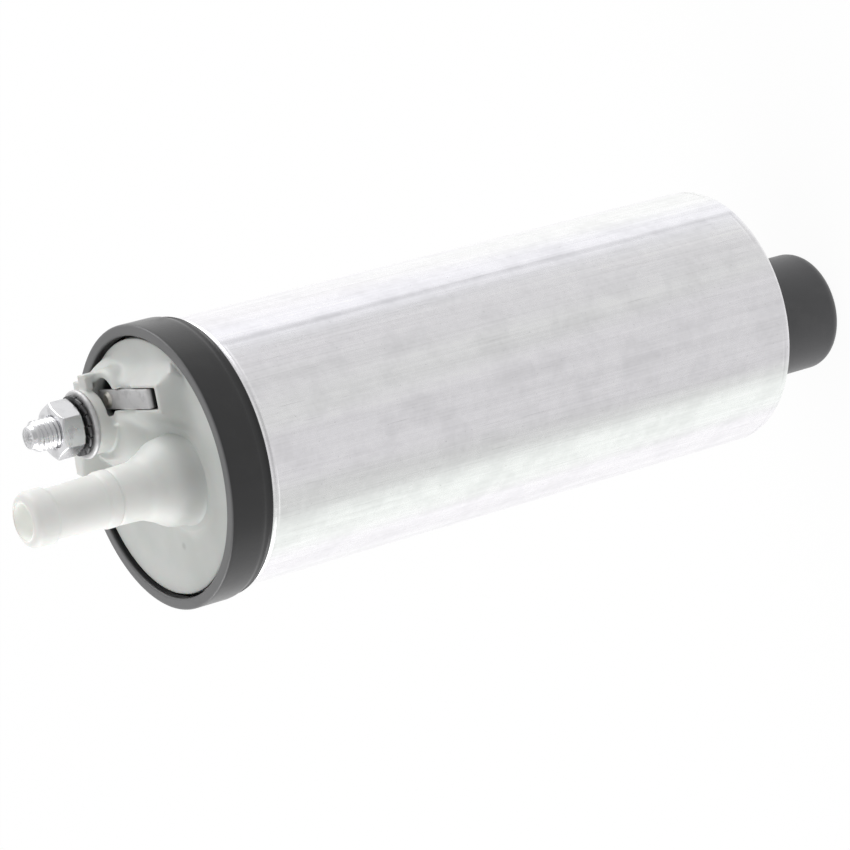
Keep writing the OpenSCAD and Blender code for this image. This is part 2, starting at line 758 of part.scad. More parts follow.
// One slot of the core: a narrow mouth and a wide pocket
module slot_outline(gap = 0) {
    far = 2 * core_r;
    translate([core_r - 2.2, -0.8 + gap]) square([3, 1.6 - 2 * gap]);
    intersection() {
        difference() {
            circle(r = core_r - 1.4 * motor_k - gap);
            circle(r = core_in_r + gap);
        }
        polygon([[shaft_r + 1.6 + 2 * gap, 0], [far, far * tan(180 / slots - 7) - gap],
                 [far, -far * tan(180 / slots - 7) + gap]]);
    }
}

module rotor_core() {
    color([0.45, 0.46, 0.48]) translate([0, 0, z_core]) linear_extrude(core_len) difference() {
        circle(r = core_r);
        circle(r = shaft_r + seat_gap);
        for (i = [0:slots - 1]) rotate(i * 360 / slots) slot_outline();
    }
}

// Coils: bars through the slots and rounded heads at both ends
module windings() {
    head = 6;
    r_out = core_r - 1.8 * motor_k;
    r_in = core_in_r + 0.4;
    c = (r_out - r_in) / 4;
    top = head - 0.3;
    color([0.72, 0.38, 0.16]) union() {
        translate([0, 0, z_core - 1]) linear_extrude(core_len + 2)
            for (i = [0:slots - 1]) rotate(i * 360 / slots)
                intersection() {
                    slot_outline(loose_gap);
                    circle(r = r_out);
                }
        for (z = [z_core - head, z_core_top + 0.3]) translate([0, 0, z])
            rotate_extrude($fn = 96) polygon(concat(
                arc([r_out - c, c], c, 270, 360, 4), arc([r_out - c, top - c], c, 0, 90, 4),
                arc([r_in + c, top - c], c, 90, 180, 4), arc([r_in + c, c], c, 180, 270, 4)));
    }
}

module commutator() {
    color([0.75, 0.45, 0.2]) translate([0, 0, z_comm]) difference() {
        union() {
            tube_of(comm_r, hub_r, comm_len);
            tube_of(comm_r + 0.9, hub_r, 1.2);
        }
        for (i = [0:slots - 1]) rotate(i * 360 / slots)
            translate([hub_r - 1, -0.25, 1.4]) cube([5, 0.5, comm_len]);
    }
}

module commutator_hub() {
    color([0.3, 0.16, 0.1]) translate([0, 0, z_comm])
        tube_of(hub_r - seat_gap, shaft_r + seat_gap, comm_len + hub_over);
}

// Open side channel: most of a ring groove, stopped between the ports
module side_channel(depth) {
    rotate(stop_angle) rotate_extrude(angle = 360 - 2 * stop_angle, $fn = 96)
        translate([channel_r - vane_depth / 2, -depth]) square([vane_depth, 2 * depth]);
}

// Upper half of the pump chamber, which also holds the lower bush
module pump_casing() {
    color([0.62, 0.62, 0.6]) difference() {
        translate([0, 0, z_casing]) cylinder(r = fit_r, h = z_casing_top - z_casing);
        translate([0, 0, z_casing - 1]) cylinder(r = wheel_r, h = z_chamber - z_casing + 1);
        translate([0, 0, z_chamber]) side_channel(channel_depth);
        translate([0, 0, z_chamber - 1]) cylinder(r = shaft_r + 0.5, h = casing_t + 2, $fn = 48);
        translate([0, 0, z_chamber + 1.4]) cylinder(r = bush_r, h = casing_t, $fn = 48);
        rotate(port_angle) translate([channel_r, 0, z_chamber - 1])
            cylinder(r = port_r, h = casing_t + 2, $fn = 32);
        translate([0, 0, z_casing_top - 2.4]) tube_of(fit_r - 3, bush_r + 2.4, 3);
    }
}

// Wheel with open slots round its rim
module impeller() {
    gap = 0.6 * 2 * PI * (impeller_r - vane_depth) / vanes;
    color([0.3, 0.28, 0.26]) translate([0, 0, z_wheel]) linear_extrude(impeller_t) difference() {
        circle(r = impeller_r);
        circle(r = shaft_r + seat_gap);
        for (i = [0:vanes - 1]) rotate(i * 360 / vanes)
            translate([impeller_r - vane_depth, -gap / 2]) square([vane_depth + 1, gap]);
    }
}

// Lower half of the chamber, with the way from the inlet to its side channel
module inlet_cover() {
    color([0.24, 0.24, 0.25]) difference() {
        translate([0, 0, z_cover]) cylinder(r = fit_r, h = cover_t);
        at_inlet() translate([0, 0, z_cover - 1]) cylinder(r = spigot_r + seat_gap, h = z_way + way_h - z_cover + 1);
        translate([0, 0, z_shaft - thrust_t]) cylinder(r = shaft_r + 0.4, h = cover_t, $fn = 48);
        translate([0, 0, z_cover_top]) side_channel(channel_depth);
        rotate(-port_angle) {
            translate([channel_r, 0, z_way]) cylinder(r = port_r, h = cover_t, $fn = 32);
            translate([3, -port_r + 0.1, z_way - 0.05]) cube([channel_r - 3, 2 * port_r - 0.2, way_h - 0.1]);
        }
        translate([0, 0, z_cover + 3.4]) tube_of(tube_r, fit_r - seal_sink, seal_d + 0.2);
    }
}

// Inlet pipe, pressed into the cover; its bore is a little narrower at the inner end
module inlet_pipe() {
    z0 = sleeve_lip + seat_gap;
    z_step = z_tube - 0.3;
    color([0.3, 0.3, 0.31]) at_inlet() rotate_extrude($fn = 72) polygon([
        [inlet_r, z0], [spigot_r, z0], [spigot_r, z_socket], [inlet_r - 0.2, z_socket],
        [inlet_r - 0.2, z_step + 0.1], [inlet_r, z_step]]);
}

module thrust_button() {
    color([0.85, 0.85, 0.8]) translate([0, 0, z_shaft - thrust_t + seat_gap])
        cylinder(r = shaft_r + 0.3, h = thrust_t - 2 * seat_gap, $fn = 48);
}

module inlet_seal() {
    color([0.12, 0.12, 0.12]) translate([0, 0, z_cover + 3.5 + seal_d / 2])
        rotate_extrude($fn = 96) translate([inner_r - seat_gap - seal_d / 2, 0]) circle(d = seal_d, $fn = 24);
}

// Rubber sleeve over the spigot, with a rounded end that lips over it
module inlet_sleeve() {
    color([0.17, 0.17, 0.18]) at_inlet() rotate_extrude($fn = 96) polygon(concat(
        [[inlet_r, 0]],
        arc([sleeve_r - sleeve_edge_r, sleeve_edge_r], sleeve_edge_r, 270, 360, 8),
        [[sleeve_r, z_tube - 0.3], [sleeve_r - 0.3, z_tube], [sleeve_r - 0.3, z_cover - seat_gap]],
        [[spigot_r + seat_gap, z_cover - seat_gap]],
        [[spigot_r + seat_gap, sleeve_lip], [inlet_r, sleeve_lip]]
    ));
}

housing_tube();
isolator_ring();
end_cap();
cap_seal();
terminal_stud();
contact_plate();
lock_washer();
terminal_nut();
contact_strap();
contact_rivet();
check_valve();
check_spring();
check_seat();
relief_ball();
relief_spring();
relief_plug();
brush_holder();
brush_left();
brush_right();
brush_spring_left();
brush_spring_right();
upper_bush();
flux_ring();
magnet_left();
magnet_right();
magnet_clips();
rotor_shaft();
rotor_core();
windings();
commutator();
commutator_hub();
pump_casing();
lower_bush();
impeller();
inlet_cover();
inlet_seal();
thrust_button();
inlet_pipe();
inlet_sleeve();
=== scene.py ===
"""Looks of an in-tank fuel pump: drawn aluminium tube, rubber ring, white outlet cap and black inlet.

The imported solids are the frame. Each visible piece is a surface worked out on a grid and stands for its solid.
"""
import json
import math

import bmesh
import bpy
import numpy as np
from mathutils import Matrix, Vector


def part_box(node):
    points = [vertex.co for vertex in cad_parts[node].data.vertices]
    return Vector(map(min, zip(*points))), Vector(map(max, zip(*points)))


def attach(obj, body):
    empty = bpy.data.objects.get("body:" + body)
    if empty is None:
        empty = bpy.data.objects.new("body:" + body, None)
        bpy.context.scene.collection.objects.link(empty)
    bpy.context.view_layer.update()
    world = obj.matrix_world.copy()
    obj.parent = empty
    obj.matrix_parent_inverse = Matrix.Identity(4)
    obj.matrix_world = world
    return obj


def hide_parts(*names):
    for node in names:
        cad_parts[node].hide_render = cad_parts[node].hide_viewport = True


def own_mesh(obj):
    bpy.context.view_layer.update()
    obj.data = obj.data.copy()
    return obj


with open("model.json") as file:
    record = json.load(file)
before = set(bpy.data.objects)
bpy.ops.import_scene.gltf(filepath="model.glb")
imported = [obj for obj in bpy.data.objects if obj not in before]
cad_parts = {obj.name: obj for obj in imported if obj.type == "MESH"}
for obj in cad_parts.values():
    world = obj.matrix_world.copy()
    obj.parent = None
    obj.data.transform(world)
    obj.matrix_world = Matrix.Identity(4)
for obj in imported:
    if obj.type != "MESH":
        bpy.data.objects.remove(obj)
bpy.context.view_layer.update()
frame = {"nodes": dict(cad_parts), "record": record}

MM = 0.001
NODES = frame["nodes"]
RECORD = frame["record"]
MOUNTS = {m["name"]: m for m in RECORD["mounts"]}


def mount_place(name):
    """The place of a mount in metres, and its radius."""
    m = MOUNTS[name]
    return np.array(m["pos_m"]), m["dims"].get("r_mm", 0) * MM


def low(node):
    """Lowest corner of a node's box."""
    return np.array(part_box(node)[0])


def high(node):
    """Highest corner of a node's box."""
    return np.array(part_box(node)[1])


# Driving places, read from the frame
RING_FRONT = high("isolator_ring")[2]
RING_BACK = low("isolator_ring")[2]
RING_R = high("isolator_ring")[0]
TUBE_R = mount_place("body_clamp")[1]
TUBE_LOW = low("housing_tube")[2]
TUBE_HIGH = high("housing_tube")[2]
BEAD_R = high("housing_tube")[0]
SLEEVE_PLACE, SLEEVE_R = mount_place("inlet_spigot")
INLET_BORE_R = mount_place("inlet_bore")[1]
STUD_PLACE, STUD_R = mount_place("terminal_stud")
BARB_PLACE, BARB_PIPE_R = mount_place("hose_barb")
BARB_TIP = high("end_cap")[2]
CAP_FACE = RING_FRONT - 0.8 * MM
STRAP_LOW, STRAP_HIGH = low("contact_strap"), high("contact_strap")
SHELF = STRAP_HIGH[2]
SLOT_LOW = STRAP_HIGH - (1.2 * MM, STRAP_HIGH[1] - STRAP_LOW[1] + 0.4 * MM, 0)
SLOT_HIGH = STRAP_HIGH + (2.9 * MM, 0.4 * MM, 0)
WELL_PLACE = (low("contact_rivet") + high("contact_rivet")) / 2 + (0, 0.4 * MM, 0)
GATE_MARK = (0.0033, -0.0125, CAP_FACE)


# Camera: the photograph's view, worked out from the ring, the tube and the barb
CAMERA_BEARING = math.radians(8.49)
CAMERA_ELEVATION = math.radians(32.31)
CAMERA_DISTANCE = 0.5909
CAMERA_TARGET = Vector((0.0230, -0.0015, RING_FRONT - 0.0356))
CAMERA_LENS = 162.57


def make_camera():
    """Looks at the target from its bearing and elevation, rolled until the frame's X axis lies level."""
    back = Vector((
        math.cos(CAMERA_ELEVATION) * math.cos(CAMERA_BEARING),
        math.cos(CAMERA_ELEVATION) * math.sin(CAMERA_BEARING),
        math.sin(CAMERA_ELEVATION),
    ))
    up = back.cross(Vector((1, 0, 0))).normalized()
    right = up.cross(back)
    data = bpy.data.cameras.new("camera")
    data.lens = CAMERA_LENS
    data.sensor_width = 36
    data.clip_start = 0.05
    data.clip_end = 20
    camera = bpy.data.objects.new("camera", data)
    turn = Matrix((right, up, back)).transposed().to_4x4()
    camera.matrix_world = Matrix.Translation(CAMERA_TARGET + back * CAMERA_DISTANCE) @ turn
    bpy.context.scene.collection.objects.link(camera)
    bpy.context.scene.camera = camera


class Wire:
    """One output of a material's tree. Sums and products of wires and numbers add Math nodes."""

    def __init__(self, finish, socket):
        self.finish = finish
        self.socket = socket

    def _math(self, operation, *others):
        return self.finish.node("ShaderNodeMath", {"operation": operation}, dict(enumerate(others)))

    def __add__(self, other):
        return self._math("ADD", self, other)

    def __sub__(self, other):
        return self._math("SUBTRACT", self, other)

    def __rsub__(self, other):
        return self._math("SUBTRACT", other, self)

    def __mul__(self, other):
        return self._math("MULTIPLY", self, other)

    def __truediv__(self, other):
        return self._math("DIVIDE", self, other)

    def __pow__(self, other):
        return self._math("POWER", self, other)

    __radd__ = __add__
    __rmul__ = __mul__

    def absolute(self):
        return self._math("ABSOLUTE", self)

    def ramp(self, low_in, high_in, low_out=0.0, high_out=1.0):
        """Smooth step from one value to another while this one goes from low_in to high_in."""
        return self.finish.node(
            "ShaderNodeMapRange", {"interpolation_type": "SMOOTHSTEP", "clamp": True},
            {"Value": self, "From Min": low_in, "From Max": high_in, "To Min": low_out, "To Max": high_out},
        )


class Finish:
    """A material's tree round one Principled shader. plain holds the sockets that are the same all over."""

    def __init__(self, name, **plain):
        self.material = bpy.data.materials.new(name)
        self.material.use_nodes = True
        self.tree = self.material.node_tree
        self.shader = self.tree.nodes["Principled BSDF"]
        for socket, value in plain.items():
            self.shader.inputs[socket.replace("_", " ").title().replace("Ior", "IOR")].default_value = value
        place = self.tree.nodes.new("ShaderNodeTexCoord")
        self.place = Wire(self, place.outputs["Object"])

    def node(self, kind, settings=None, inputs=None, output=0):
        """Adds a node: its settings first, then the values or wires of its sockets."""
        node = self.tree.nodes.new(kind)
        for name, value in (settings or {}).items():
            setattr(node, name, value)
        for key, value in (inputs or {}).items():
            if isinstance(value, Wire):
                self.tree.links.new(value.socket, node.inputs[key])
            else:
                node.inputs[key].default_value = value
        return Wire(self, node.outputs[output])

    def stretched(self, x=1.0, y=1.0, z=1.0, centre=(0, 0, 0)):
        """Object coordinates about a centre, multiplied along each axis."""
        moved = self.node("ShaderNodeVectorMath", {"operation": "SUBTRACT"}, {0: self.place, 1: tuple(centre)})
        return self.node("ShaderNodeVectorMath", {"operation": "MULTIPLY"}, {0: moved, 1: (x, y, z)})

    def noise(self, scale, detail=3.0, roughness=0.5, vector=None, offset=0.0):
        """Noise of 0 to 1; scale is in waves per metre."""
        vector = vector or self.place
        if offset:
            vector = self.node(
                "ShaderNodeVectorMath", {"operation": "ADD"}, {0: vector, 1: (offset, 1.7 * offset, 0.6 * offset)})
        return self.node(
            "ShaderNodeTexNoise", {"noise_dimensions": "3D"},
            {"Vector": vector, "Scale": scale, "Detail": detail, "Roughness": roughness},
        )

    def axis(self, index):
        """One coordinate in metres."""
        return self.node("ShaderNodeSeparateXYZ", None, {0: self.place}, index)

    def near(self, place, start, end):
        """One within start metres of an upright line through a place, fading to nothing at end."""
        flat = self.node("ShaderNodeVectorMath", {"operation": "MULTIPLY"}, {0: self.place, 1: (1, 1, 0)})
        away = self.node("ShaderNodeVectorMath", {"operation": "DISTANCE"}, {0: flat, 1: (*place[:2], 0)}, 1)
        return away.ramp(start, end, 1.0, 0.0)

    def stripe(self, bearing, half):
        """One along a lengthwise line of the tube at a bearing in degrees, fading out half metres beside it."""
        a = math.radians(bearing)
        beside = (self.axis(1) * math.cos(a) - self.axis(0) * math.sin(a)).absolute()
        facing = self.axis(0) * math.cos(a) + self.axis(1) * math.sin(a)
        return beside.ramp(0.15 * half, half, 1.0, 0.0) * facing.ramp(0.0, 2 * MM)

    def mix(self, factor, first, second):
        """From one colour to another."""
        return self.node(
            "ShaderNodeMix", {"data_type": "RGBA"},
            {0: factor, 6: first if isinstance(first, Wire) else (*first, 1),
             7: second if isinstance(second, Wire) else (*second, 1)}, 2,
        )

    def bump(self, height, distance, strength=1.0):
        """Normal of a surface raised by height times distance metres."""
        return self.node("ShaderNodeBump", None, {"Strength": strength, "Distance": distance, "Height": height})

    def wear(self, color=None, roughness=None, normal=None, metallic=None):
        """Links what varies over the surface."""
        links = {"Base Color": color, "Roughness": roughness, "Normal": normal, "Metallic": metallic}
        for socket, wire in links.items():
            if wire is not None:
                self.tree.links.new(wire.socket, self.shader.inputs[socket])
        return self.material


def tube_aluminium():
    """Bare drawn aluminium: bright, with lengthwise streaks, dull stains, a few fine scratches, and painted reflection
    lines and bands at set bearings.
    """
    f = Finish("tube_aluminium", metallic=1.0)
    streak_fine = f.noise(1.0, 4, 0.6, f.stretched(3000, 3000, 30))
    streak_broad = f.noise(1.0, 3, 0.55, f.stretched(500, 500, 9), 3.1)
    band = f.noise(1.0, 2, 0.5, f.stretched(60, 60, 2.5), 7.7)
    stain = f.noise(150, 5, 0.62, None, 1.3)
    grain = f.noise(900, 4, 0.65, None, 9.0)
    speck = f.noise(2600, 2, 0.5, None, 5.0)
    scratch = f.noise(1.0, 2, 0.5, f.stretched(5200, 5200, 110), 2.6)
    dull = stain.ramp(0.42, 0.66)
    pits = speck.ramp(0.7, 0.76)
    lines = scratch.ramp(0.7, 0.74)
    tone = 0.97 + 0.22 * (streak_broad - 0.5) + 0.2 * (streak_fine - 0.5) + 0.16 * (grain - 0.5)
    tone = tone - 0.06 * dull - 0.2 * pits - 0.14 * lines
    # Painted reflection: a thin dark line at bearing 54 and a broad darker band at bearing -22 run along the tube
    # where its reflections darken.
    tone = tone - 0.16 * f.stripe(54, 0.9 * MM) - 0.06 * f.stripe(-22, 3.5 * MM)
    tint_and_painted_bands = f.mix(band.ramp(0.42, 0.6), (0.985, 0.972, 1.0), (0.985, 0.99, 0.985))
    # Painted reflection: lilac and green tinted bands along the tube at bearings 57 and -36, the colours its
    # reflections show.
    tint_and_painted_bands = f.mix(f.stripe(57, 6 * MM) * 0.8, tint_and_painted_bands, (0.955, 0.95, 1.0))
    tint_and_painted_bands = f.mix(f.stripe(-36, 6 * MM) * 0.8, tint_and_painted_bands, (0.965, 1.0, 0.972))
    color = f.node("ShaderNodeVectorMath", {"operation": "SCALE"}, {0: tint_and_painted_bands, "Scale": tone})
    rough = 0.26 + 0.1 * dull + 0.1 * (streak_fine - 0.5) + 0.1 * (grain - 0.5)
    height = streak_fine * 0.5 + streak_broad * 0.8 + stain * 0.8 + grain * 0.3
    return f.wear(color, rough, f.bump(height, 0.00003, 0.6))


def black_rubber(name, tone, roughness, grain, lit_front=None):
    """Moulded rubber: fine matt grain, dusty patches and a soft sheen.

    lit_front is a stretch of height over which the tone rises to a painted highlight, the lighter look of the front
    face where light falls on it.
    """
    f = Finish(name, specular_ior_level=0.55, sheen_weight=0.12, sheen_roughness=0.35)
    fine = f.noise(grain, 4, 0.6)
    patch = f.noise(180, 4, 0.55, None, 2.2)
    dust = patch.ramp(0.5, 0.75)
    color = f.mix(dust * 0.5, (tone, tone, tone * 1.06), (tone * 1.5, tone * 1.5, tone * 1.55))
    rough = roughness + 0.1 * (fine - 0.5) + 0.1 * dust
    if lit_front:
        # Painted highlight: the front face is painted lighter for the light that falls on it.
        lit_front_share = f.axis(2).ramp(*lit_front)
        color = f.mix(lit_front_share, color, (0.13, 0.13, 0.132))
        rough = rough + 0.2 * lit_front_share
    return f.wear(color, rough, f.bump(fine, 0.00003, 0.5))


def cap_plastic():
    """Natural plastic: grey where it is thick; painted paler, with a painted glow, up the thin barb and bead for the
    light that passes through them; painted shade in the strap's slot and the well.
    """
    f = Finish("cap_plastic", specular_ior_level=0.4, subsurface_weight=0.15, subsurface_scale=0.0012)
    flow = f.noise(120, 3, 0.5)
    fine = f.noise(1800, 3, 0.5, None, 4.0)
    height = f.axis(2)
    # Painted light: the colour turns paler with height up the barb and bead, for light passing through the thin
    # plastic.
    thin = height.ramp(CAP_FACE + 1.5 * MM, CAP_FACE + 11 * MM)
    thick = f.mix(flow.ramp(0.32, 0.68), (0.51, 0.525, 0.505), (0.56, 0.572, 0.555))
    painted_light_tone = f.mix(flow.ramp(0.32, 0.68), (0.67, 0.675, 0.655), (0.72, 0.725, 0.705))
    color = f.mix(thin, thick, painted_light_tone)
    color = f.mix(0.45 * f.near(GATE_MARK, 0.2 * MM, 0.8 * MM), color, (0.3, 0.31, 0.3))
    along, across = f.axis(0), f.axis(1)
    in_slot = along.ramp(SLOT_LOW[0], SLOT_LOW[0] + 0.2 * MM) * along.ramp(SLOT_HIGH[0] - 0.2 * MM, SLOT_HIGH[0], 1, 0)
    in_slot = in_slot * across.ramp(SLOT_LOW[1], SLOT_LOW[1] + 0.2 * MM)
    in_slot = in_slot * across.ramp(SLOT_HIGH[1] - 0.2 * MM, SLOT_HIGH[1], 1, 0)
    # Painted shade: inside the strap's slot and the well, below the shelf, the colour goes nearly black for the shade
    # in these recesses.
    shade_depth = height.ramp(SHELF - 1.5 * MM, SHELF - 0.7 * MM, 1, 0) * height.ramp(CAP_FACE - 2 * MM, CAP_FACE - 1.9 * MM)
    painted_hollow_shade = (in_slot + f.near(WELL_PLACE, 3.05 * MM, 3.25 * MM)) * shade_depth
    color = f.mix(painted_hollow_shade, color, (0.03, 0.03, 0.03))
    rough = 0.42 + 0.14 * (flow - 0.5) + 0.1 * (fine - 0.5)
    # Painted glow: an emission that rises with height up the barb, and a brighter one round the bore near the tip, for
    # light through the plastic.
    glow = f.mix(thin, (0, 0, 0), (0.06, 0.061, 0.057))
    bore_glow_share = f.near(BARB_PLACE, 2.9 * MM, 3.3 * MM) * height.ramp(CAP_FACE + 12 * MM, CAP_FACE + 20 * MM)
    glow = f.mix(bore_glow_share, glow, (0.22, 0.224, 0.212))
    f.tree.links.new(glow.socket, f.shader.inputs["Emission Color"])
    f.shader.inputs["Emission Strength"].default_value = 1.0
    return f.wear(color, rough, f.bump(flow * 0.7 + fine * 0.3, 0.00004, 0.35))


def plated_steel(name, tone, roughness, warm=0.0, metallic=1.0, shade=None):
    """Plated steel: small dull spots on a bright skin and faint turning marks.

    shade is a stretch of height below which the metal is painted nearly black: painted shade where it runs down into
    its slot.
    """
    f = Finish(name, metallic=metallic)
    fine = f.noise(2400, 4, 0.6)
    patch = f.noise(500, 3, 0.5, None, 1.9)
    dull = patch.ramp(0.45, 0.7)
    bright = (tone, tone * (1 - 0.3 * warm), tone * (1.02 - warm))
    color = f.mix(dull, bright, tuple(0.8 * c for c in bright))
    if shade:
        # Painted shade: below this height the colour goes nearly black.
        color = f.mix(f.axis(2).ramp(*shade), (0.03, 0.03, 0.03), color)
    return f.wear(color, roughness + 0.14 * dull + 0.1 * (fine - 0.5), f.bump(fine, 0.00001, 0.4))


def inner_metal(name, color, roughness, grain=900):
    """A hidden metal piece: one colour with machining grain."""
    f = Finish(name, metallic=1.0)
    fine = f.noise(grain, 4, 0.6)
    shade = f.mix(fine.ramp(0.3, 0.7), tuple(0.82 * c for c in color), color)
    return f.wear(shade, roughness + 0.16 * (fine - 0.5), f.bump(fine, 0.00002, 0.4))


def inner_plastic(name, color, roughness, grain=700):
    """A hidden moulded piece: one colour with a fine texture."""
    f = Finish(name)
    fine = f.noise(grain, 3, 0.5)
    shade = f.mix(fine.ramp(0.3, 0.7), tuple(0.86 * c for c in color), color)
    return f.wear(shade, roughness + 0.1 * (fine - 0.5), f.bump(fine, 0.00002, 0.3))


def make_finishes():
    """One material for each slot of the record."""
    return {
        "tube_aluminium": tube_aluminium(),
        # The ring's front face carries a painted highlight.
        "ring_rubber": black_rubber("ring_rubber", 0.016, 0.3, 2600, (RING_FRONT - 0.3 * MM, RING_FRONT)),
        "sleeve_rubber": black_rubber("sleeve_rubber", 0.05, 0.4, 3200),
        "seal_rubber": black_rubber("seal_rubber", 0.02, 0.45, 2000),
        "cap_plastic": cap_plastic(),
        "zinc_steel": plated_steel("zinc_steel", 0.74, 0.22),
        # The strap's leg is painted dark below the shelf, a painted shade in its slot.
        "contact_metal": plated_steel(
            "contact_metal", 0.56, 0.5, 0.02, 0.6, (SHELF - 0.75 * MM, SHELF - 0.3 * MM)),
        "washer_steel": plated_steel("washer_steel", 0.12, 0.4),
        "brass": inner_metal("brass", (0.62, 0.6, 0.55), 0.45),
        "valve_plastic": inner_plastic("valve_plastic", (0.1, 0.11, 0.13), 0.4),
        "spring_steel": inner_metal("spring_steel", (0.6, 0.61, 0.63), 0.26),
        "holder_plastic": inner_plastic("holder_plastic", (0.62, 0.58, 0.47), 0.5),
        "brush_carbon": inner_plastic("brush_carbon", (0.05, 0.045, 0.045), 0.55),
        "bush_bronze": inner_metal("bush_bronze", (0.5, 0.36, 0.2), 0.5),
        "yoke_steel": inner_metal("yoke_steel", (0.36, 0.37, 0.39), 0.4),
        "magnet_ferrite": inner_plastic("magnet_ferrite", (0.09, 0.09, 0.1), 0.55),
        "copper_wire": inner_metal("copper_wire", (0.72, 0.34, 0.15), 0.3, 2600),
        "hub_resin": inner_plastic("hub_resin", (0.16, 0.08, 0.04), 0.45),
        "cast_aluminium": inner_metal("cast_aluminium", (0.6, 0.6, 0.61), 0.5),
        "impeller_plastic": inner_plastic("impeller_plastic", (0.1, 0.09, 0.085), 0.5),
        "cover_plastic": inner_plastic("cover_plastic", (0.03, 0.03, 0.032), 0.5),
    }


def add_piece(name, points, faces, slot, body, replaces=(), smooth=True):
    """Puts a mesh into the scene, with its finish, its body and the solids that it stands for."""
    mesh = bpy.data.meshes.new(name)
    mesh.from_pydata(np.asarray(points).tolist(), [], faces)
    mesh.polygons.foreach_set("use_smooth", np.full(len(mesh.polygons), smooth))
    piece = bpy.data.objects.new(name, mesh)
    bpy.context.scene.collection.objects.link(piece)
    dress(piece, slot, body, replaces)
    return piece


def dress(piece, slot, body, replaces=()):
    """Gives a piece its material, slot, body and the solids that it stands for."""
    piece.data.materials.clear()
    piece.data.materials.append(FINISHES[slot])
    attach(piece, body)
    if replaces:
        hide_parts(*replaces)


def grid_faces(rows, columns, wrap_rows=False):
    """Quads of a grid whose columns close on themselves; wrap_rows closes the rows as well."""
    i, j = np.meshgrid(np.arange(rows if wrap_rows else rows - 1), np.arange(columns), indexing="ij")
    k, m = (i + 1) % rows, (j + 1) % columns
    quads = np.stack((i * columns + j, i * columns + m, k * columns + m, k * columns + j), -1)
    return quads.reshape(-1, 4)


def arc(centre_r, centre_z, radius, start, end, count=8):
    """Points of an arc in the profile plane, angles in degrees from the r axis."""
    t = np.radians(np.linspace(start, end, count + 1))
    return np.stack((centre_r + radius * np.cos(t), centre_z + radius * np.sin(t)), -1)


def line(start, end, count):
    """Evenly spaced points of a straight stretch, without its last one."""
    t = np.linspace(0, 1, count, endpoint=False)[:, None]
    return np.array(start) * (1 - t) + np.array(end) * t


def profile(*stretches):
    """Joins points and stretches of a profile into one array of (r, z)."""
    return np.concatenate([np.atleast_2d(np.asarray(s, float)) for s in stretches])


def revolve(name, outline, slot, body, replaces=(), centre=(0, 0), segments=256, shape=None):
    """Turns a closed profile of (r, z), run anticlockwise, about a vertical axis.

    A point is (r cos a, r sin a, z), moved to the centre. shape takes the grids of r, z and a and returns
    changed r and z, for what isn't round.
    """
    a = np.linspace(0, 2 * np.pi, segments, endpoint=False)
    r, angle = np.meshgrid(outline[:, 0], a, indexing="ij")
    z = np.repeat(outline[:, 1:], segments, axis=1)
    if shape:
        r, z = shape(r, z, angle)
    points = np.stack((centre[0] + r * np.cos(angle), centre[1] + r * np.sin(angle), z), -1).reshape(-1, 3)
    faces = grid_faces(len(outline), segments, wrap_rows=True)[:, ::-1]
    piece = add_piece(name, points, faces.tolist(), slot, body, replaces)
    return piece


def make_tube():
    """Thin tube: rolled end, plain drawn wall, a low bead behind the ring, rolled top."""
    wall = 1.0 * MM
    roll = 1.3 * MM
    inner = TUBE_R - wall
    lip_low = TUBE_R - 1.9 * MM
    bead_z = RING_BACK - 1.1 * MM
    z_rows = np.linspace(TUBE_LOW + 2.2 * MM, bead_z - 1.2 * MM, 90)
    ripple_z = np.linspace(bead_z - 1.0 * MM, RING_BACK + 1.0 * MM, 24)
    ripple = 0.5 * (1 + np.cos(np.clip((ripple_z - bead_z) / (0.55 * MM), -1, 1) * np.pi))
    ripple_r = TUBE_R + (BEAD_R - TUBE_R) * ripple
    outline = profile(
        [(lip_low, TUBE_LOW + 0.25 * MM), (lip_low + 0.25 * MM, TUBE_LOW)],
        arc(TUBE_R - roll, TUBE_LOW + roll, roll, -84, 0, 10),
        [(TUBE_R, TUBE_LOW + roll + 0.3 * MM), (TUBE_R - 0.05 * MM, TUBE_LOW + roll + 0.42 * MM),
         (TUBE_R, TUBE_LOW + roll + 0.55 * MM)],
        np.stack((np.full(len(z_rows), TUBE_R), z_rows), -1),
        np.stack((ripple_r, ripple_z), -1),
        [(TUBE_R, TUBE_HIGH - roll), (TUBE_R - 0.9 * MM, TUBE_HIGH - 0.3 * MM),
         (TUBE_R - 1.1 * MM, TUBE_HIGH), (lip_low, TUBE_HIGH), (lip_low, TUBE_HIGH - 0.4 * MM),
         (inner, TUBE_HIGH - roll - 0.3 * MM)],
        line((inner, TUBE_HIGH - roll - 2 * MM), (inner, TUBE_LOW + wall), 4),
        [(lip_low, TUBE_LOW + wall)],
    )
    return revolve("tube_shell", outline, "tube_aluminium", "pump_body", ["housing_tube"], segments=384)


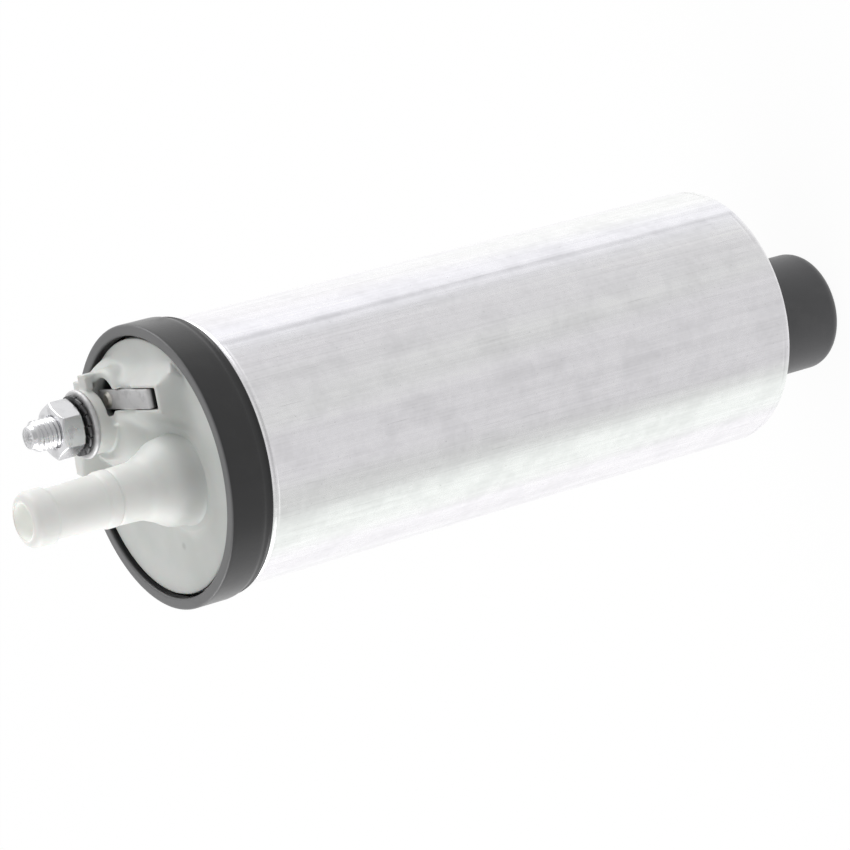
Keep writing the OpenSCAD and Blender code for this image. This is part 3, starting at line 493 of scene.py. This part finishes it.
def make_ring():
    """Rubber ring: front lip with soft edges, plain band, a sloped step behind and a thin rear lip."""
    lip = RING_R - 1.8 * MM
    grip = TUBE_R + 0.02 * MM
    seat = TUBE_HIGH + 0.15 * MM
    edge = 0.35 * MM
    slope_top = RING_BACK + 2.0 * MM
    outline = profile(
        [(grip, RING_BACK), (grip + 0.35 * MM, RING_BACK)],
        [(RING_R - 0.42 * MM, RING_BACK + 0.1 * MM), (RING_R - 0.34 * MM, RING_BACK + 0.34 * MM)],
        [(RING_R - 0.5 * MM, RING_BACK + 0.42 * MM)],
        [(RING_R - 0.04 * MM, slope_top - 0.25 * MM), (RING_R, slope_top + 0.1 * MM)],
        line((RING_R, slope_top + 0.5 * MM), (RING_R, RING_FRONT - edge), 8),
        arc(RING_R - edge, RING_FRONT - edge, edge, 0, 90, 6),
        line((RING_R - 2 * edge, RING_FRONT), (lip + edge, RING_FRONT), 3),
        arc(lip + edge, RING_FRONT - edge, edge, 90, 180, 6),
        [(lip, seat), (grip, seat)],
        line((grip, seat - 0.5 * MM), (grip, RING_BACK), 4),
    )
    return revolve("rubber_ring", outline, "ring_rubber", "pump_body", ["isolator_ring"], segments=320)


def make_sleeve():
    """Rubber sleeve on the inlet: straight, with a well rounded end and a lip over the spigot."""
    top = high("inlet_sleeve")[2]
    edge = 2.4 * MM
    inner = SLEEVE_R - 2.48 * MM
    outline = profile(
        [(INLET_BORE_R + 0.3 * MM, 0.0)],
        line((INLET_BORE_R + 0.8 * MM, 0.0), (SLEEVE_R - edge, 0.0), 3),
        arc(SLEEVE_R - edge, edge, edge, -90, 0, 14),
        line((SLEEVE_R, edge + 0.4 * MM), (SLEEVE_R, top - 0.2 * MM), 14),
        [(SLEEVE_R - 0.2 * MM, top), (inner, top), (inner, 2.6 * MM), (INLET_BORE_R, 2.6 * MM)],
        [(INLET_BORE_R, 0.3 * MM)],
    )
    return revolve("inlet_boot", outline, "sleeve_rubber", "pump_body", ["inlet_sleeve"],
                   centre=SLEEVE_PLACE[:2], segments=192)


def make_barb():
    """Hose barb: domed foot that runs out into the face, tapered neck, collar, pipe and rounded bead."""
    bore = 2.8 * MM
    bead = 4.45 * MM
    foot = 4.4 * MM
    chamber = (high("check_valve")[0] - low("check_valve")[0]) / 2 + 0.62 * MM
    chamber_top = high("check_spring")[2] + 0.08 * MM
    collar_top = BARB_TIP - 12.9 * MM
    collar_low = collar_top - 2.2 * MM
    dome = np.array([
        (9.3, -0.35), (8.5, -0.12), (7.9, 0.1), (7.45, 0.5), (7.2, 1.1), (7.05, 1.9), (6.95, 2.8), (6.85, 3.6),
        (6.7, 4.2), (6.45, 4.8), (6.15, 5.3), (5.8, 5.85), (5.5, 6.4), (5.25, 7.0), (5.05, 7.5), (4.82, 7.9),
        (4.66, 8.4), (4.55, 9.2), (4.48, 10.4),
    ]) * MM + (0, CAP_FACE)
    outline = profile(
        [(chamber, CAP_FACE - 1 * MM), (9.3 * MM, CAP_FACE - 1 * MM)],
        dome,
        line((foot + 0.06 * MM, CAP_FACE + 11.6 * MM), (foot, collar_low - 0.3 * MM), 4),
        [(foot - 0.02 * MM, collar_low - 0.2 * MM), (foot - 0.16 * MM, collar_low - 0.05 * MM)],
        [(foot - 0.14 * MM, collar_low + 0.05 * MM), (foot + 0.06 * MM, collar_low + 0.2 * MM)],
        [(foot + 0.08 * MM, collar_low + 0.5 * MM), (foot + 0.06 * MM, collar_top - 0.4 * MM)],
        [(foot - 0.02 * MM, collar_top - 0.15 * MM), (foot - 0.2 * MM, collar_top)],
        line((foot - 0.22 * MM, collar_top + 0.3 * MM), (BARB_PIPE_R, BARB_TIP - 5 * MM), 6),
        [(BARB_PIPE_R + 0.02 * MM, BARB_TIP - 4.5 * MM), (BARB_PIPE_R + 0.08 * MM, BARB_TIP - 4.25 * MM)],
        [(bead - 0.12 * MM, BARB_TIP - 3.95 * MM), (bead - 0.02 * MM, BARB_TIP - 3.75 * MM)],
        [(bead, BARB_TIP - 3.4 * MM)],
        arc(bead - 1.3 * MM, BARB_TIP - 1.5 * MM, 1.3 * MM, 0, 78, 10),
        [(bead - 1.35 * MM, BARB_TIP - 0.1 * MM), (bead - 1.5 * MM, BARB_TIP)],
        [(bore + 0.25 * MM, BARB_TIP), (bore, BARB_TIP - 0.25 * MM)],
        line((bore, BARB_TIP - 1 * MM), (bore, chamber_top + 0.3 * MM), 6),
        [(bore, chamber_top), (chamber, chamber_top), (chamber, chamber_top - 0.3 * MM)],
        [(chamber, CAP_FACE)],
    )
    return revolve("hose_barb", outline, "cap_plastic", "pump_body", ["end_cap"],
                   centre=BARB_PLACE[:2], segments=160)


def make_cap_face():
    """The solid cap's visible top, cut off below its face and at the barb, with every edge softly rounded."""
    source = NODES["end_cap"]
    mesh = source.data.copy()
    mesh.name = "cap_face"
    work = bmesh.new()
    work.from_mesh(mesh)
    bmesh.ops.remove_doubles(work, verts=work.verts, dist=0.001 * MM)
    cut = bmesh.ops.bisect_plane(
        work, geom=work.verts[:] + work.edges[:] + work.faces[:], dist=1e-7,
        plane_co=(0, 0, CAP_FACE - 0.95 * MM), plane_no=(0, 0, 1), clear_inner=True)
    bmesh.ops.holes_fill(work, edges=[e for e in cut["geom_cut"] if isinstance(e, bmesh.types.BMEdge)], sides=0)
    bmesh.ops.triangulate(work, faces=work.faces[:])
    work.to_mesh(mesh)
    work.free()
    piece = bpy.data.objects.new("cap_face", mesh)
    bpy.context.scene.collection.objects.link(piece)
    remesh = piece.modifiers.new("remesh", "REMESH")
    remesh.mode = "VOXEL"
    remesh.voxel_size = 0.19 * MM
    remesh.use_smooth_shade = True
    soften = piece.modifiers.new("soften", "SMOOTH")
    soften.factor = 0.5
    soften.iterations = 4
    graph = bpy.context.evaluated_depsgraph_get()
    done = bpy.data.meshes.new_from_object(piece.evaluated_get(graph))
    piece.modifiers.clear()
    piece.data = done
    done.name = "cap_face"
    trim_pipe(done)
    soften_flanks(piece)
    piece.data.polygons.foreach_set("use_smooth", np.full(len(piece.data.polygons), True))
    dress(piece, "cap_plastic", "pump_body", ["end_cap"])
    return piece


def soften_flanks(piece):
    """Rounds the platform's slopes: w is 1 away from the strap, the well, the tower and the plate's rim."""
    count = len(piece.data.vertices)
    flat = np.empty(count * 3)
    piece.data.vertices.foreach_get("co", flat)
    x, y, z = flat.reshape(-1, 3).T
    step = 1.2 * MM
    from_strap = np.maximum(np.maximum(x - SLOT_HIGH[0], SLOT_LOW[0] - 4 * MM - x),
                            np.maximum(y - SLOT_HIGH[1] - 0.3 * MM, SLOT_LOW[1] - 0.3 * MM - y))
    from_well = np.hypot(x - WELL_PLACE[0], y - WELL_PLACE[1]) - 3.9 * MM
    from_tower = np.hypot(x - STUD_PLACE[0], y - STUD_PLACE[1]) - 5.6 * MM
    from_rim = 19.4 * MM - np.hypot(x, y)
    away = np.minimum(np.minimum(from_strap, from_well), np.minimum(from_tower, from_rim))
    w = np.clip(away / step, 0, 1) * (z > CAP_FACE - 0.6 * MM) * (x > -7 * MM)
    group = piece.vertex_groups.new(name="slopes")
    for level in range(1, 9):
        chosen = np.flatnonzero(np.round(w * 8) == level)
        if len(chosen):
            group.add(chosen.tolist(), level / 8, "REPLACE")
    soften = piece.modifiers.new("slopes", "SMOOTH")
    soften.factor = 0.9
    soften.iterations = 160
    soften.vertex_group = "slopes"
    graph = bpy.context.evaluated_depsgraph_get()
    done = bpy.data.meshes.new_from_object(piece.evaluated_get(graph))
    piece.modifiers.clear()
    piece.vertex_groups.clear()
    piece.data = done


def trim_pipe(mesh):
    """Drops the stretch of the pipe that the barb's own surface covers."""
    work = bmesh.new()
    work.from_mesh(mesh)
    centre = Vector((BARB_PLACE[0], BARB_PLACE[1]))
    gone = [v for v in work.verts
            if v.co.z > CAP_FACE + 1.0 * MM and (v.co.xy - centre).length < 8.4 * MM and not near_tower(v.co)]
    bmesh.ops.delete(work, geom=gone, context="VERTS")
    edges = [e for e in work.edges if e.is_boundary]
    bmesh.ops.holes_fill(work, edges=edges, sides=0)
    work.to_mesh(mesh)
    work.free()


def near_tower(place):
    """True for a point of the platform or tower."""
    return place.y > 5.9 * MM or place.x < -3 * MM


def make_stud():
    """Threaded stud: a ridge that climbs one pitch a turn on the rod, and a plain dog point."""
    bottom = low("terminal_stud")[2]
    top = high("terminal_stud")[2]
    pitch = 0.8 * MM
    depth = 0.32 * MM
    point = 1.1 * MM
    z_rows = np.arange(STUD_PLACE[2] - 3.5 * MM, top - point, pitch / 12)
    outline = profile(
        [(0.0, bottom), (STUD_R - 0.1 * MM, bottom)],
        np.stack((np.full(len(z_rows), STUD_R), z_rows), -1),
        [(STUD_R - 0.45 * MM, top - 0.75 * MM), (STUD_R - 0.66 * MM, top - 0.6 * MM)],
        [(STUD_R - 0.68 * MM, top - 0.15 * MM), (STUD_R - 0.8 * MM, top), (0.0, top)],
    )

    def thread(r, z, angle):
        turn = (z / pitch - angle / (2 * np.pi)) % 1
        ridge = 1 - np.clip(np.abs(2 * turn - 1) * 1.25 - 0.1, 0, 1)
        on_rod = (r > STUD_R - 0.01 * MM) & (z > z_rows[0]) & (z <= z_rows[-1])
        fade = np.clip((z_rows[-1] - z) / (0.5 * MM), 0, 1)
        return r - on_rod * depth * (1 - ridge) * (0.4 + 0.6 * fade), z

    return revolve("stud_thread", outline, "zinc_steel", "pump_body", ["terminal_stud"],
                   centre=STUD_PLACE[:2], segments=72, shape=thread)


def make_nut():
    """Hexagon nut: each radius is the nearer of the six flats and the turned chamfer."""
    bottom = low("terminal_nut")[2]
    top = high("terminal_nut")[2]
    flat = 4.0 * MM
    corner = flat / math.cos(math.radians(30))
    bore = STUD_R + 0.02 * MM
    z_edge = np.concatenate((np.linspace(0, 0.8, 9), np.linspace(1.2, (top - bottom) / MM - 1.2, 6),
                             np.linspace((top - bottom) / MM - 0.8, (top - bottom) / MM, 9))) * MM
    outline = profile(
        [(bore, bottom + 0.3 * MM), (bore + 0.35 * MM, bottom)],
        line((bore + 0.6 * MM, bottom), (flat - 0.3 * MM, bottom), 3),
        np.stack((np.full(len(z_edge), corner), bottom + z_edge), -1),
        line((flat - 0.3 * MM, top), (bore + 0.7 * MM, top), 3),
        [(bore + 0.45 * MM, top), (bore, top - 0.45 * MM)],
    )

    def hexagon(r, z, angle):
        side = (angle - math.radians(NUT_TURN)) % (math.pi / 3) - math.pi / 6
        flats = flat / np.cos(side)
        depth = np.minimum(z - bottom, top - z)
        chamfer = flat - 0.12 * MM + depth * 1.7
        soft = 0.05 * MM
        shared = np.minimum(flats, chamfer) - soft * np.exp(-np.abs(flats - chamfer) / soft)
        return np.where(r > flat, shared, r), z

    return revolve("hex_nut", outline, "zinc_steel", "pump_body", ["terminal_nut"],
                   centre=STUD_PLACE[:2], segments=288, shape=hexagon)


NUT_TURN = 26


def make_washer():
    """Toothed lock washer: the rim is cut into sixteen teeth, each twisted up on one side."""
    bottom = low("lock_washer")[2]
    top = high("lock_washer")[2]
    outer = high("lock_washer")[0] - STUD_PLACE[0]
    bore = STUD_R + 0.02 * MM
    middle = (top + bottom) / 2
    half = 0.24 * MM
    outline = profile(
        line((bore, middle - half), (outer, middle - half), 14),
        line((outer, middle - half), (outer, middle + half), 2),
        line((outer, middle + half), (bore, middle + half), 14),
    )

    def teeth(r, z, angle):
        phase = (angle * 16 / (2 * np.pi)) % 1
        reach = np.clip((r - 3.7 * MM) / (outer - 3.7 * MM), 0, 1)
        gap = (np.abs(phase - 0.5) > 0.44) & (r > 3.9 * MM)
        twist = (phase - 0.5) * 0.2 * MM * reach
        return np.where(gap, 3.9 * MM, r), z + twist

    return revolve("tooth_washer", outline, "washer_steel", "pump_body", ["lock_washer"],
                   centre=STUD_PLACE[:2], segments=320, shape=teeth)


def make_plate():
    """Round contact plate with rolled edges."""
    bottom = low("contact_plate")[2]
    top = high("contact_plate")[2]
    outer = high("contact_plate")[0] - STUD_PLACE[0]
    bore = STUD_R + 0.02 * MM
    edge = (top - bottom) / 2
    outline = profile(
        line((bore, bottom), (outer - edge, bottom), 4),
        arc(outer - edge, bottom + edge, edge, -90, 90, 10),
        line((outer - 1.2 * edge, top), (bore, top), 4),
        [(bore, top)],
    )
    return revolve("terminal_plate", outline, "contact_metal", "pump_body", ["contact_plate"],
                   centre=STUD_PLACE[:2], segments=128)


def make_strap():
    """Flat strap: a rounded rectangle carried along a line with one tight bend down."""
    lo, hi = low("contact_strap"), high("contact_strap")
    thick = 0.8 * MM
    bend = thick * 0.9
    run = hi[0] - thick / 2
    t = np.radians(np.linspace(90, 0, 9))
    path = np.concatenate((
        line((lo[0], hi[2] - thick / 2), (run - bend, hi[2] - thick / 2), 12),
        np.stack((run - bend + bend * np.cos(t), hi[2] - thick / 2 - bend + bend * np.sin(t)), -1),
        line((run, hi[2] - thick - bend), (run, lo[2]), 6)[1:],
    ))
    ahead = np.gradient(path, axis=0)
    ahead /= np.linalg.norm(ahead, axis=1)[:, None]
    normal = np.stack((-ahead[:, 1], ahead[:, 0]), -1)
    half_w, half_t, round_r = (hi[1] - lo[1]) / 2, thick / 2, 0.2 * MM
    corner = np.radians(np.arange(0, 91, 22.5))
    across, through = [], []
    for turn, (sx, sz) in enumerate(((1, 1), (-1, 1), (-1, -1), (1, -1))):
        angle = corner + turn * np.pi / 2
        across.append(sx * (half_w - round_r) + round_r * np.cos(angle))
        through.append(sz * (half_t - round_r) + round_r * np.sin(angle))
    across, through = np.concatenate(across), np.concatenate(through)
    middle_y = (lo[1] + hi[1]) / 2
    x = path[:, :1] + normal[:, :1] * through
    z = path[:, 1:] + normal[:, 1:] * through
    y = middle_y + np.repeat(across[None, :], len(path), 0)
    points = np.stack((x, y, z), -1).reshape(-1, 3)
    count = len(across)
    faces = grid_faces(len(path), count).tolist()
    faces += [list(range(count))[::-1], [len(points) - count + i for i in range(count)]]
    piece = add_piece("contact_strip", points, faces, "contact_metal", "pump_body", ["contact_strap"])
    return piece


def make_coil(name, node, slot, axis, turns, wire, anchor):
    """Coil spring: a round wire on a helix along one axis.

    With t from 0 to 1, the wire's middle is at (R cos a, R sin a, u) with a = 2 pi turns t and u rising
    evenly. anchor is not used.
    """
    lo, hi = low(node), high(node)
    side, up = (axis + 1) % 3, (axis + 2) % 3
    middle = (lo + hi) / 2
    radius = (hi[side] - lo[side] + hi[up] - lo[up]) / 4 - wire / 2
    t = np.linspace(0, 1, int(turns * 40) + 1)[:, None]
    b = np.linspace(0, 2 * np.pi, 14, endpoint=False)[None, :]
    a = 2 * np.pi * turns * t
    out = radius + wire / 2 * np.cos(b)
    points = np.empty((len(t), b.size, 3))
    points[..., side] = middle[side] + out * np.cos(a)
    points[..., up] = middle[up] + out * np.sin(a)
    points[..., axis] = lo[axis] + wire / 2 + (hi[axis] - lo[axis] - wire) * t + wire / 2 * np.sin(b)
    faces = grid_faces(len(t), b.size)[:, ::-1].tolist()
    last = len(t) * b.size
    faces += [list(range(b.size)), [last - 1 - i for i in range(b.size)]]
    piece = add_piece(name, points.reshape(-1, 3), faces, slot, "pump_body", [node])
    hold = middle.copy()
    hold[axis] = anchor[axis]
    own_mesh(piece)
    return piece


def make_springs():
    """The four springs, each given as anchor the end that its moving piece presses away from."""
    make_coil("valve_coil", "check_spring", "spring_steel", 2, 5, 0.5 * MM,
              high("check_spring"))
    make_coil("relief_coil", "relief_spring", "spring_steel", 2, 4, 0.4 * MM,
              high("relief_spring"))
    make_coil("left_coil", "brush_spring_left", "spring_steel", 0, 3, 0.4 * MM,
              low("brush_spring_left"))
    make_coil("right_coil", "brush_spring_right", "spring_steel", 0, 3, 0.4 * MM,
              high("brush_spring_right"))


def make_stage():
    """White floor below the pump: it shows plain white and keeps a faint shadow."""
    size = 6.0
    points = [(-size, -size, 0), (size, -size, 0), (size, size, 0), (-size, size, 0)]
    mesh = bpy.data.meshes.new("floor")
    mesh.from_pydata(points, [], [(0, 1, 2, 3)])
    floor = bpy.data.objects.new("floor", mesh)
    bpy.context.scene.collection.objects.link(floor)
    material = bpy.data.materials.new("floor_white")
    material.use_nodes = True
    tree = material.node_tree
    tree.nodes.clear()
    path = tree.nodes.new("ShaderNodeLightPath")
    glow = tree.nodes.new("ShaderNodeEmission")
    paper = tree.nodes.new("ShaderNodeBsdfDiffuse")
    blend = tree.nodes.new("ShaderNodeMixShader")
    output = tree.nodes.new("ShaderNodeOutputMaterial")
    share = tree.nodes.new("ShaderNodeMath")
    seen = tree.nodes.new("ShaderNodeMath")
    place = tree.nodes.new("ShaderNodeTexCoord")
    toward = tree.nodes.new("ShaderNodeVectorMath")
    fade = tree.nodes.new("ShaderNodeMapRange")
    level = tree.nodes.new("ShaderNodeMath")
    beside = tree.nodes.new("ShaderNodeVectorMath")
    lower_side = tree.nodes.new("ShaderNodeMath")
    border = tree.nodes.new("ShaderNodeMath")
    paper.inputs["Color"].default_value = (0.86, 0.86, 0.86, 1)
    toward.operation = "DOT_PRODUCT"
    toward.inputs[1].default_value = (math.cos(CAMERA_BEARING), math.sin(CAMERA_BEARING), 0)
    fade.interpolation_type = "SMOOTHSTEP"
    for socket, value in (("From Min", 0.008), ("From Max", 0.034), ("To Min", 1.0), ("To Max", 0.7)):
        fade.inputs[socket].default_value = value
    level.operation = "MAXIMUM"
    tree.links.new(place.outputs["Object"], toward.inputs[0])
    beside.operation = "DOT_PRODUCT"
    beside.inputs[1].default_value = (-math.sin(CAMERA_BEARING), math.cos(CAMERA_BEARING), 0)
    tree.links.new(place.outputs["Object"], beside.inputs[0])
    lower_side.operation = "MINIMUM"
    lower_side.inputs[1].default_value = 0
    tree.links.new(beside.outputs["Value"], lower_side.inputs[0])
    border.operation = "MULTIPLY_ADD"
    border.inputs[1].default_value = 0.2
    tree.links.new(lower_side.outputs[0], border.inputs[0])
    tree.links.new(toward.outputs["Value"], border.inputs[2])
    tree.links.new(border.outputs[0], fade.inputs["Value"])
    tree.links.new(fade.outputs[0], level.inputs[0])
    tree.links.new(path.outputs["Is Camera Ray"], level.inputs[1])
    tree.links.new(level.outputs[0], glow.inputs["Color"])
    seen.operation = "MAXIMUM"
    tree.links.new(path.outputs["Is Camera Ray"], seen.inputs[0])
    tree.links.new(path.outputs["Is Glossy Ray"], seen.inputs[1])
    share.operation = "MULTIPLY"
    share.inputs[1].default_value = 0.95
    tree.links.new(seen.outputs[0], share.inputs[0])
    tree.links.new(share.outputs[0], blend.inputs[0])
    tree.links.new(paper.outputs[0], blend.inputs[1])
    tree.links.new(glow.outputs[0], blend.inputs[2])
    tree.links.new(blend.outputs[0], output.inputs[0])
    mesh.materials.append(material)


def make_world():
    """White all round for the camera; a little darker towards the open side of the tent for everything else."""
    world = bpy.data.worlds.new("tent")
    bpy.context.scene.world = world
    world.use_nodes = True
    tree = world.node_tree
    tree.nodes.clear()
    output = tree.nodes.new("ShaderNodeOutputWorld")
    shade = tree.nodes.new("ShaderNodeBackground")
    place = tree.nodes.new("ShaderNodeTexCoord")
    facing = tree.nodes.new("ShaderNodeVectorMath")
    fade = tree.nodes.new("ShaderNodeMapRange")
    path = tree.nodes.new("ShaderNodeLightPath")
    level = tree.nodes.new("ShaderNodeMath")
    facing.operation = "DOT_PRODUCT"
    facing.inputs[1].default_value = OPEN_SIDE
    fade.interpolation_type = "SMOOTHSTEP"
    for socket, value in (("From Min", 0.15), ("From Max", 1.0), ("To Min", 0.95), ("To Max", 0.5)):
        fade.inputs[socket].default_value = value
    level.operation = "MAXIMUM"
    tree.links.new(place.outputs["Generated"], facing.inputs[0])
    tree.links.new(facing.outputs["Value"], fade.inputs["Value"])
    tree.links.new(fade.outputs[0], level.inputs[0])
    tree.links.new(path.outputs["Is Camera Ray"], level.inputs[1])
    tree.links.new(level.outputs[0], shade.inputs["Color"])
    tree.links.new(shade.outputs[0], output.inputs["Surface"])


OPEN_SIDE = (0.836, 0.125, 0.535)


def make_lamp(name, place, target, width, height, power):
    """A soft box that faces its target."""
    data = bpy.data.lights.new(name, "AREA")
    data.shape = "RECTANGLE"
    data.size = width
    data.size_y = height
    data.energy = power
    lamp = bpy.data.objects.new(name, data)
    lamp.location = place
    lamp.rotation_mode = "QUATERNION"
    lamp.rotation_quaternion = (Vector(target) - Vector(place)).to_track_quat("-Z", "Y")
    bpy.context.scene.collection.objects.link(lamp)


FINISHES = make_finishes()
for subpart in RECORD["subparts"]:
    solid = NODES[subpart["node"]]
    solid.data.materials.clear()
    solid.data.materials.append(FINISHES[subpart["material_slot"]])

make_camera()
make_world()
make_stage()
make_lamp("top_box", (-0.3, 0.7, 0.3), (0, 0, 0.05), 0.7, 0.5, 3.4)
make_lamp("low_box", (-0.1, -0.7, 0.3), (0, 0, 0.05), 0.7, 0.5, 3.4)
make_tube()
make_ring()
make_sleeve()
make_barb()
make_cap_face()
make_stud()
make_nut()
make_washer()
make_plate()
make_strap()
make_springs()

bpy.context.scene.view_settings.view_transform = "Standard"
bpy.context.view_layer.update()
